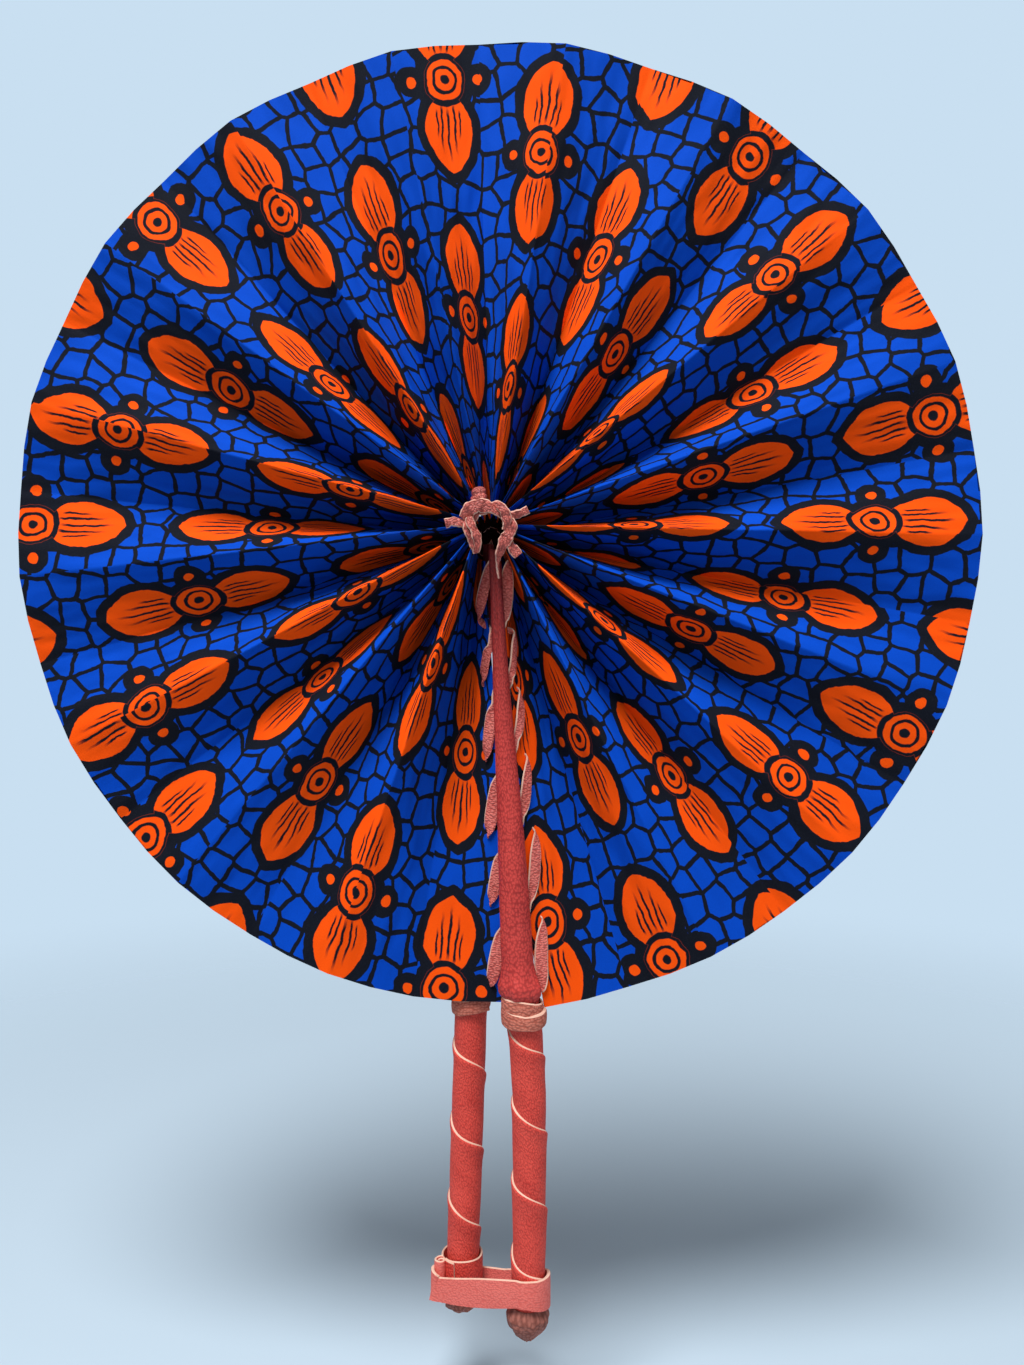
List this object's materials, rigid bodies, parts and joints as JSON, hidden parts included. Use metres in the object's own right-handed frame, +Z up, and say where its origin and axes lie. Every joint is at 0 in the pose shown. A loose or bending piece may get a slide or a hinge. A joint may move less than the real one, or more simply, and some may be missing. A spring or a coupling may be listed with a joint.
{
  "type": "folding fan",
  "caption": "Round folding hand fan: pleated printed cotton laced round a hub, leather-covered sticks with wrapped handles, and a strap that holds them.",
  "frame": {"origin": "centre of the hub hole, halfway between the front and the back of the folds", "axes": "+Z up from the handles to the top of the leaf, -Y towards the front, +X to the right seen from the front"},
  "size_m": [0.3374, 0.0369, 0.4497],
  "materials": {
    "printed_cotton": "double-sided wax print on plain-woven cotton, blue ground with orange motifs",
    "stick_wood": "plain wooden dowel inside the leather",
    "sleeve_leather": "smooth dark crimson leather",
    "lace_leather": "salmon suede thong with pale cut edges",
    "collar_suede": "tan suede band with pale cut edges",
    "handle_leather": "grained brick-red leather, wound on in a spiral",
    "cap_leather": "dark brown-red leather drawn over the end",
    "strap_leather": "grained red leather band with pale cut edges"
  },
  "bodies": {
    "left_stick": {"panel_00": "printed_cotton", "hub_lace_front": "lace_leather", "hub_lace_back": "lace_leather", "left_rod": "stick_wood", "left_sleeve": "sleeve_leather", "left_lacing": "lace_leather", "left_collar": "collar_suede", "left_handle_wrap": "handle_leather", "left_end_cap": "cap_leather"},
    "crease_01": {"panel_01": "printed_cotton"},
    "crease_02": {"panel_02": "printed_cotton"},
    "crease_03": {"panel_03": "printed_cotton"},
    "crease_04": {"panel_04": "printed_cotton"},
    "crease_05": {"panel_05": "printed_cotton"},
    "crease_06": {"panel_06": "printed_cotton"},
    "crease_07": {"panel_07": "printed_cotton"},
    "crease_08": {"panel_08": "printed_cotton"},
    "crease_09": {"panel_09": "printed_cotton"},
    "crease_10": {"panel_10": "printed_cotton"},
    "crease_11": {"panel_11": "printed_cotton"},
    "crease_12": {"panel_12": "printed_cotton"},
    "crease_13": {"panel_13": "printed_cotton"},
    "crease_14": {"panel_14": "printed_cotton"},
    "crease_15": {"panel_15": "printed_cotton"},
    "crease_16": {"panel_16": "printed_cotton"},
    "crease_17": {"panel_17": "printed_cotton"},
    "crease_18": {"panel_18": "printed_cotton"},
    "crease_19": {"panel_19": "printed_cotton"},
    "crease_20": {"panel_20": "printed_cotton"},
    "crease_21": {"panel_21": "printed_cotton"},
    "crease_22": {"panel_22": "printed_cotton"},
    "crease_23": {"panel_23": "printed_cotton"},
    "crease_24": {"panel_24": "printed_cotton"},
    "crease_25": {"panel_25": "printed_cotton"},
    "crease_26": {"panel_26": "printed_cotton"},
    "crease_27": {"panel_27": "printed_cotton"},
    "crease_28": {"panel_28": "printed_cotton"},
    "crease_29": {"panel_29": "printed_cotton"},
    "crease_30": {"panel_30": "printed_cotton"},
    "crease_31": {"panel_31": "printed_cotton"},
    "crease_32": {"panel_32": "printed_cotton"},
    "crease_33": {"panel_33": "printed_cotton"},
    "right_stick": {"right_rod": "stick_wood", "right_sleeve": "sleeve_leather", "right_lacing": "lace_leather", "right_collar": "collar_suede", "right_handle_wrap": "handle_leather", "right_end_cap": "cap_leather"},
    "strap": {"strap_loop": "strap_leather"}
  },
  "joints": [
    {"name": "fold_01", "type": "hinge", "parent": "left_stick", "child": "crease_01", "pos_m": [0.01362, 0.03389, -0.00233], "axis": [0.7074, -0.7031, -0.0724], "range_deg": [0, 6.8], "deforming": ["panel_00", "hub_lace_front", "hub_lace_back", "strap_loop", "left_lacing", "right_lacing"]},
    {"name": "fold_02", "type": "hinge", "parent": "crease_01", "child": "crease_02", "pos_m": [-0.01085, -0.01052, -0.00198], "axis": [-0.6508, -0.7426, 0.1581], "range_deg": [0, 14.57], "deforming": ["panel_01"]},
    {"name": "fold_03", "type": "hinge", "parent": "crease_02", "child": "crease_03", "pos_m": [-0.01099, 0.01038, 0.00004], "axis": [0.6087, -0.7433, -0.2775], "range_deg": [0, 14.62], "deforming": ["panel_02"]},
    {"name": "fold_04", "type": "hinge", "parent": "crease_03", "child": "crease_04", "pos_m": [-0.01065, -0.01032, 0.00199], "axis": [-0.5461, -0.7425, 0.3878], "range_deg": [0, 14.62], "deforming": ["panel_03"]},
    {"name": "fold_05", "type": "hinge", "parent": "crease_04", "child": "crease_05", "pos_m": [-0.01005, 0.01018, 0.00391], "axis": [0.4629, -0.7428, -0.4837], "range_deg": [0, 14.63], "deforming": ["panel_04"]},
    {"name": "fold_06", "type": "hinge", "parent": "crease_05", "child": "crease_06", "pos_m": [-0.00905, -0.01012, 0.00557], "axis": [-0.3636, -0.7424, 0.5627], "range_deg": [0, 14.61], "deforming": ["panel_05"]},
    {"name": "fold_07", "type": "hinge", "parent": "crease_06", "child": "crease_07", "pos_m": [-0.00782, 0.00997, 0.0071], "axis": [0.2513, -0.7423, -0.6211], "range_deg": [0, 14.57], "deforming": ["panel_06"]},
    {"name": "fold_08", "type": "hinge", "parent": "crease_07", "child": "crease_08", "pos_m": [-0.00632, -0.00993, 0.00826], "axis": [-0.1303, -0.7423, 0.6572], "range_deg": [0, 14.53], "deforming": ["panel_07"]},
    {"name": "fold_09", "type": "hinge", "parent": "crease_08", "child": "crease_09", "pos_m": [-0.00466, 0.00977, 0.00922], "axis": [0.0053, -0.7419, -0.6705], "range_deg": [0, 14.45], "deforming": ["panel_08"]},
    {"name": "fold_10", "type": "hinge", "parent": "crease_09", "child": "crease_10", "pos_m": [-0.0029, -0.00974, 0.00974], "axis": [0.1194, -0.7422, 0.6595], "range_deg": [0, 14.39], "deforming": ["panel_09"]},
    {"name": "fold_11", "type": "hinge", "parent": "crease_10", "child": "crease_11", "pos_m": [-0.00106, 0.00958, 0.01005], "axis": [-0.2395, -0.7415, -0.6268], "range_deg": [0, 14.29], "deforming": ["panel_10"]},
    {"name": "fold_12", "type": "hinge", "parent": "crease_11", "child": "crease_12", "pos_m": [0.00072, -0.00955, 0.00991], "axis": [0.3502, -0.7421, 0.5716], "range_deg": [0, 14.22], "deforming": ["panel_11"]},
    {"name": "fold_13", "type": "hinge", "parent": "crease_12", "child": "crease_13", "pos_m": [0.00249, 0.0094, 0.00956], "axis": [-0.4492, -0.7413, -0.4987], "range_deg": [0, 14.12], "deforming": ["panel_12"]},
    {"name": "fold_14", "type": "hinge", "parent": "crease_13", "child": "crease_14", "pos_m": [0.00405, -0.00938, 0.00884], "axis": [0.5317, -0.742, 0.4084], "range_deg": [0, 14.05], "deforming": ["panel_13"]},
    {"name": "fold_15", "type": "hinge", "parent": "crease_14", "child": "crease_15", "pos_m": [0.00555, 0.00923, 0.00792], "axis": [-0.5974, -0.7412, -0.3062], "range_deg": [0, 13.95], "deforming": ["panel_14"]},
    {"name": "fold_16", "type": "hinge", "parent": "crease_15", "child": "crease_16", "pos_m": [0.00672, -0.00922, 0.00674], "axis": [0.6419, -0.7419, 0.1939], "range_deg": [0, 13.9], "deforming": ["panel_15"]},
    {"name": "fold_17", "type": "hinge", "parent": "crease_16", "child": "crease_17", "pos_m": [0.00778, 0.00908, 0.00541], "axis": [-0.6668, -0.7413, -0.0762], "range_deg": [0, 13.82], "deforming": ["panel_16"]},
    {"name": "fold_18", "type": "hinge", "parent": "crease_17", "child": "crease_18", "pos_m": [0.00846, -0.00907, 0.00394], "axis": [0.6692, -0.7418, -0.0435], "range_deg": [0, 13.78], "deforming": ["panel_17"]},
    {"name": "fold_19", "type": "hinge", "parent": "crease_18", "child": "crease_19", "pos_m": [0.00898, 0.00894, 0.00238], "axis": [-0.6513, -0.7414, 0.1615], "range_deg": [0, 13.73], "deforming": ["panel_18"]},
    {"name": "fold_20", "type": "hinge", "parent": "crease_19", "child": "crease_20", "pos_m": [0.00912, -0.00892, 0.00081], "axis": [0.6122, -0.7418, -0.2739], "range_deg": [0, 13.71], "deforming": ["panel_19"]},
    {"name": "fold_21", "type": "hinge", "parent": "crease_20", "child": "crease_21", "pos_m": [0.00909, 0.0088, -0.00079], "axis": [-0.5543, -0.7416, 0.3778], "range_deg": [0, 13.69], "deforming": ["panel_20"]},
    {"name": "fold_22", "type": "hinge", "parent": "crease_21", "child": "crease_22", "pos_m": [0.0087, -0.00878, -0.00228], "axis": [0.4789, -0.7417, -0.4696], "range_deg": [0, 13.7], "deforming": ["panel_21"]},
    {"name": "fold_23", "type": "hinge", "parent": "crease_22", "child": "crease_23", "pos_m": [0.00814, 0.00866, -0.00375], "axis": [-0.3884, -0.7418, 0.5468], "range_deg": [0, 13.71], "deforming": ["panel_22"]},
    {"name": "fold_24", "type": "hinge", "parent": "crease_23", "child": "crease_24", "pos_m": [0.00729, -0.00864, -0.00499], "axis": [0.2856, -0.7416, -0.607], "range_deg": [0, 13.74], "deforming": ["panel_23"]},
    {"name": "fold_25", "type": "hinge", "parent": "crease_24", "child": "crease_25", "pos_m": [0.00628, 0.00852, -0.00616], "axis": [-0.1733, -0.7419, 0.6477], "range_deg": [0, 13.79], "deforming": ["panel_24"]},
    {"name": "fold_26", "type": "hinge", "parent": "crease_25", "child": "crease_26", "pos_m": [0.00508, -0.00849, -0.00703], "axis": [0.0553, -0.7416, -0.6686], "range_deg": [0, 13.84], "deforming": ["panel_25"]},
    {"name": "fold_27", "type": "hinge", "parent": "crease_26", "child": "crease_27", "pos_m": [0.00376, 0.00838, -0.00777], "axis": [0.0651, -0.7421, 0.6671], "range_deg": [0, 13.91], "deforming": ["panel_26"]},
    {"name": "fold_28", "type": "hinge", "parent": "crease_27", "child": "crease_28", "pos_m": [0.00235, -0.00834, -0.00817], "axis": [-0.184, -0.7416, -0.6451], "range_deg": [0, 13.97], "deforming": ["panel_27"]},
    {"name": "fold_29", "type": "hinge", "parent": "crease_28", "child": "crease_29", "pos_m": [0.00087, 0.00822, -0.00841], "axis": [0.2972, -0.7423, 0.6006], "range_deg": [0, 14.07], "deforming": ["panel_28"]},
    {"name": "fold_30", "type": "hinge", "parent": "crease_29", "child": "crease_30", "pos_m": [-0.00056, -0.00818, -0.00829], "axis": [-0.4018, -0.7418, -0.537], "range_deg": [0, 14.14], "deforming": ["panel_29"]},
    {"name": "fold_31", "type": "hinge", "parent": "crease_30", "child": "crease_31", "pos_m": [-0.00201, 0.00806, -0.00802], "axis": [0.4927, -0.7425, 0.4539], "range_deg": [0, 14.24], "deforming": ["panel_30"]},
    {"name": "fold_32", "type": "hinge", "parent": "crease_31", "child": "crease_32", "pos_m": [-0.0033, -0.00801, -0.00741], "axis": [-0.5681, -0.7421, -0.3557], "range_deg": [0, 14.31], "deforming": ["panel_31"]},
    {"name": "fold_33", "type": "hinge", "parent": "crease_32", "child": "crease_33", "pos_m": [-0.00455, 0.00788, -0.00665], "axis": [0.6235, -0.7427, 0.2442], "range_deg": [0, 14.4], "deforming": ["panel_32"]},
    {"name": "fold_34", "type": "hinge", "parent": "crease_33", "child": "right_stick", "pos_m": [-0.01581, 0.00583, -0.01018], "axis": [-0.4103, -0.9086, -0.0783], "range_deg": [0, 11.53], "deforming": ["panel_33"]},
    {"name": "strap_slide", "type": "slide", "parent": "left_stick", "child": "strap", "axis": [0, 0, -1], "range_m": [0, 0.04], "deforming": ["strap_loop"]}
  ],
  "couplings": [
    {"joint": "fold_02", "follows": "fold_01", "ratio": 2.1377},
    {"joint": "fold_03", "follows": "fold_01", "ratio": 2.1459},
    {"joint": "fold_04", "follows": "fold_01", "ratio": 2.1462},
    {"joint": "fold_05", "follows": "fold_01", "ratio": 2.1477},
    {"joint": "fold_06", "follows": "fold_01", "ratio": 2.144},
    {"joint": "fold_07", "follows": "fold_01", "ratio": 2.1388},
    {"joint": "fold_08", "follows": "fold_01", "ratio": 2.1317},
    {"joint": "fold_09", "follows": "fold_01", "ratio": 2.121},
    {"joint": "fold_10", "follows": "fold_01", "ratio": 2.1115},
    {"joint": "fold_11", "follows": "fold_01", "ratio": 2.0975},
    {"joint": "fold_12", "follows": "fold_01", "ratio": 2.0869},
    {"joint": "fold_13", "follows": "fold_01", "ratio": 2.0718},
    {"joint": "fold_14", "follows": "fold_01", "ratio": 2.0617},
    {"joint": "fold_15", "follows": "fold_01", "ratio": 2.0476},
    {"joint": "fold_16", "follows": "fold_01", "ratio": 2.0391},
    {"joint": "fold_17", "follows": "fold_01", "ratio": 2.0278},
    {"joint": "fold_18", "follows": "fold_01", "ratio": 2.0219},
    {"joint": "fold_19", "follows": "fold_01", "ratio": 2.0147},
    {"joint": "fold_20", "follows": "fold_01", "ratio": 2.0118},
    {"joint": "fold_21", "follows": "fold_01", "ratio": 2.0094},
    {"joint": "fold_22", "follows": "fold_01", "ratio": 2.0098},
    {"joint": "fold_23", "follows": "fold_01", "ratio": 2.0124},
    {"joint": "fold_24", "follows": "fold_01", "ratio": 2.0161},
    {"joint": "fold_25", "follows": "fold_01", "ratio": 2.0234},
    {"joint": "fold_26", "follows": "fold_01", "ratio": 2.0301},
    {"joint": "fold_27", "follows": "fold_01", "ratio": 2.0413},
    {"joint": "fold_28", "follows": "fold_01", "ratio": 2.0504},
    {"joint": "fold_29", "follows": "fold_01", "ratio": 2.0641},
    {"joint": "fold_30", "follows": "fold_01", "ratio": 2.0747},
    {"joint": "fold_31", "follows": "fold_01", "ratio": 2.0891},
    {"joint": "fold_32", "follows": "fold_01", "ratio": 2.0999},
    {"joint": "fold_33", "follows": "fold_01", "ratio": 2.1128},
    {"joint": "fold_34", "follows": "fold_01", "ratio": 1.6915}
  ]
}
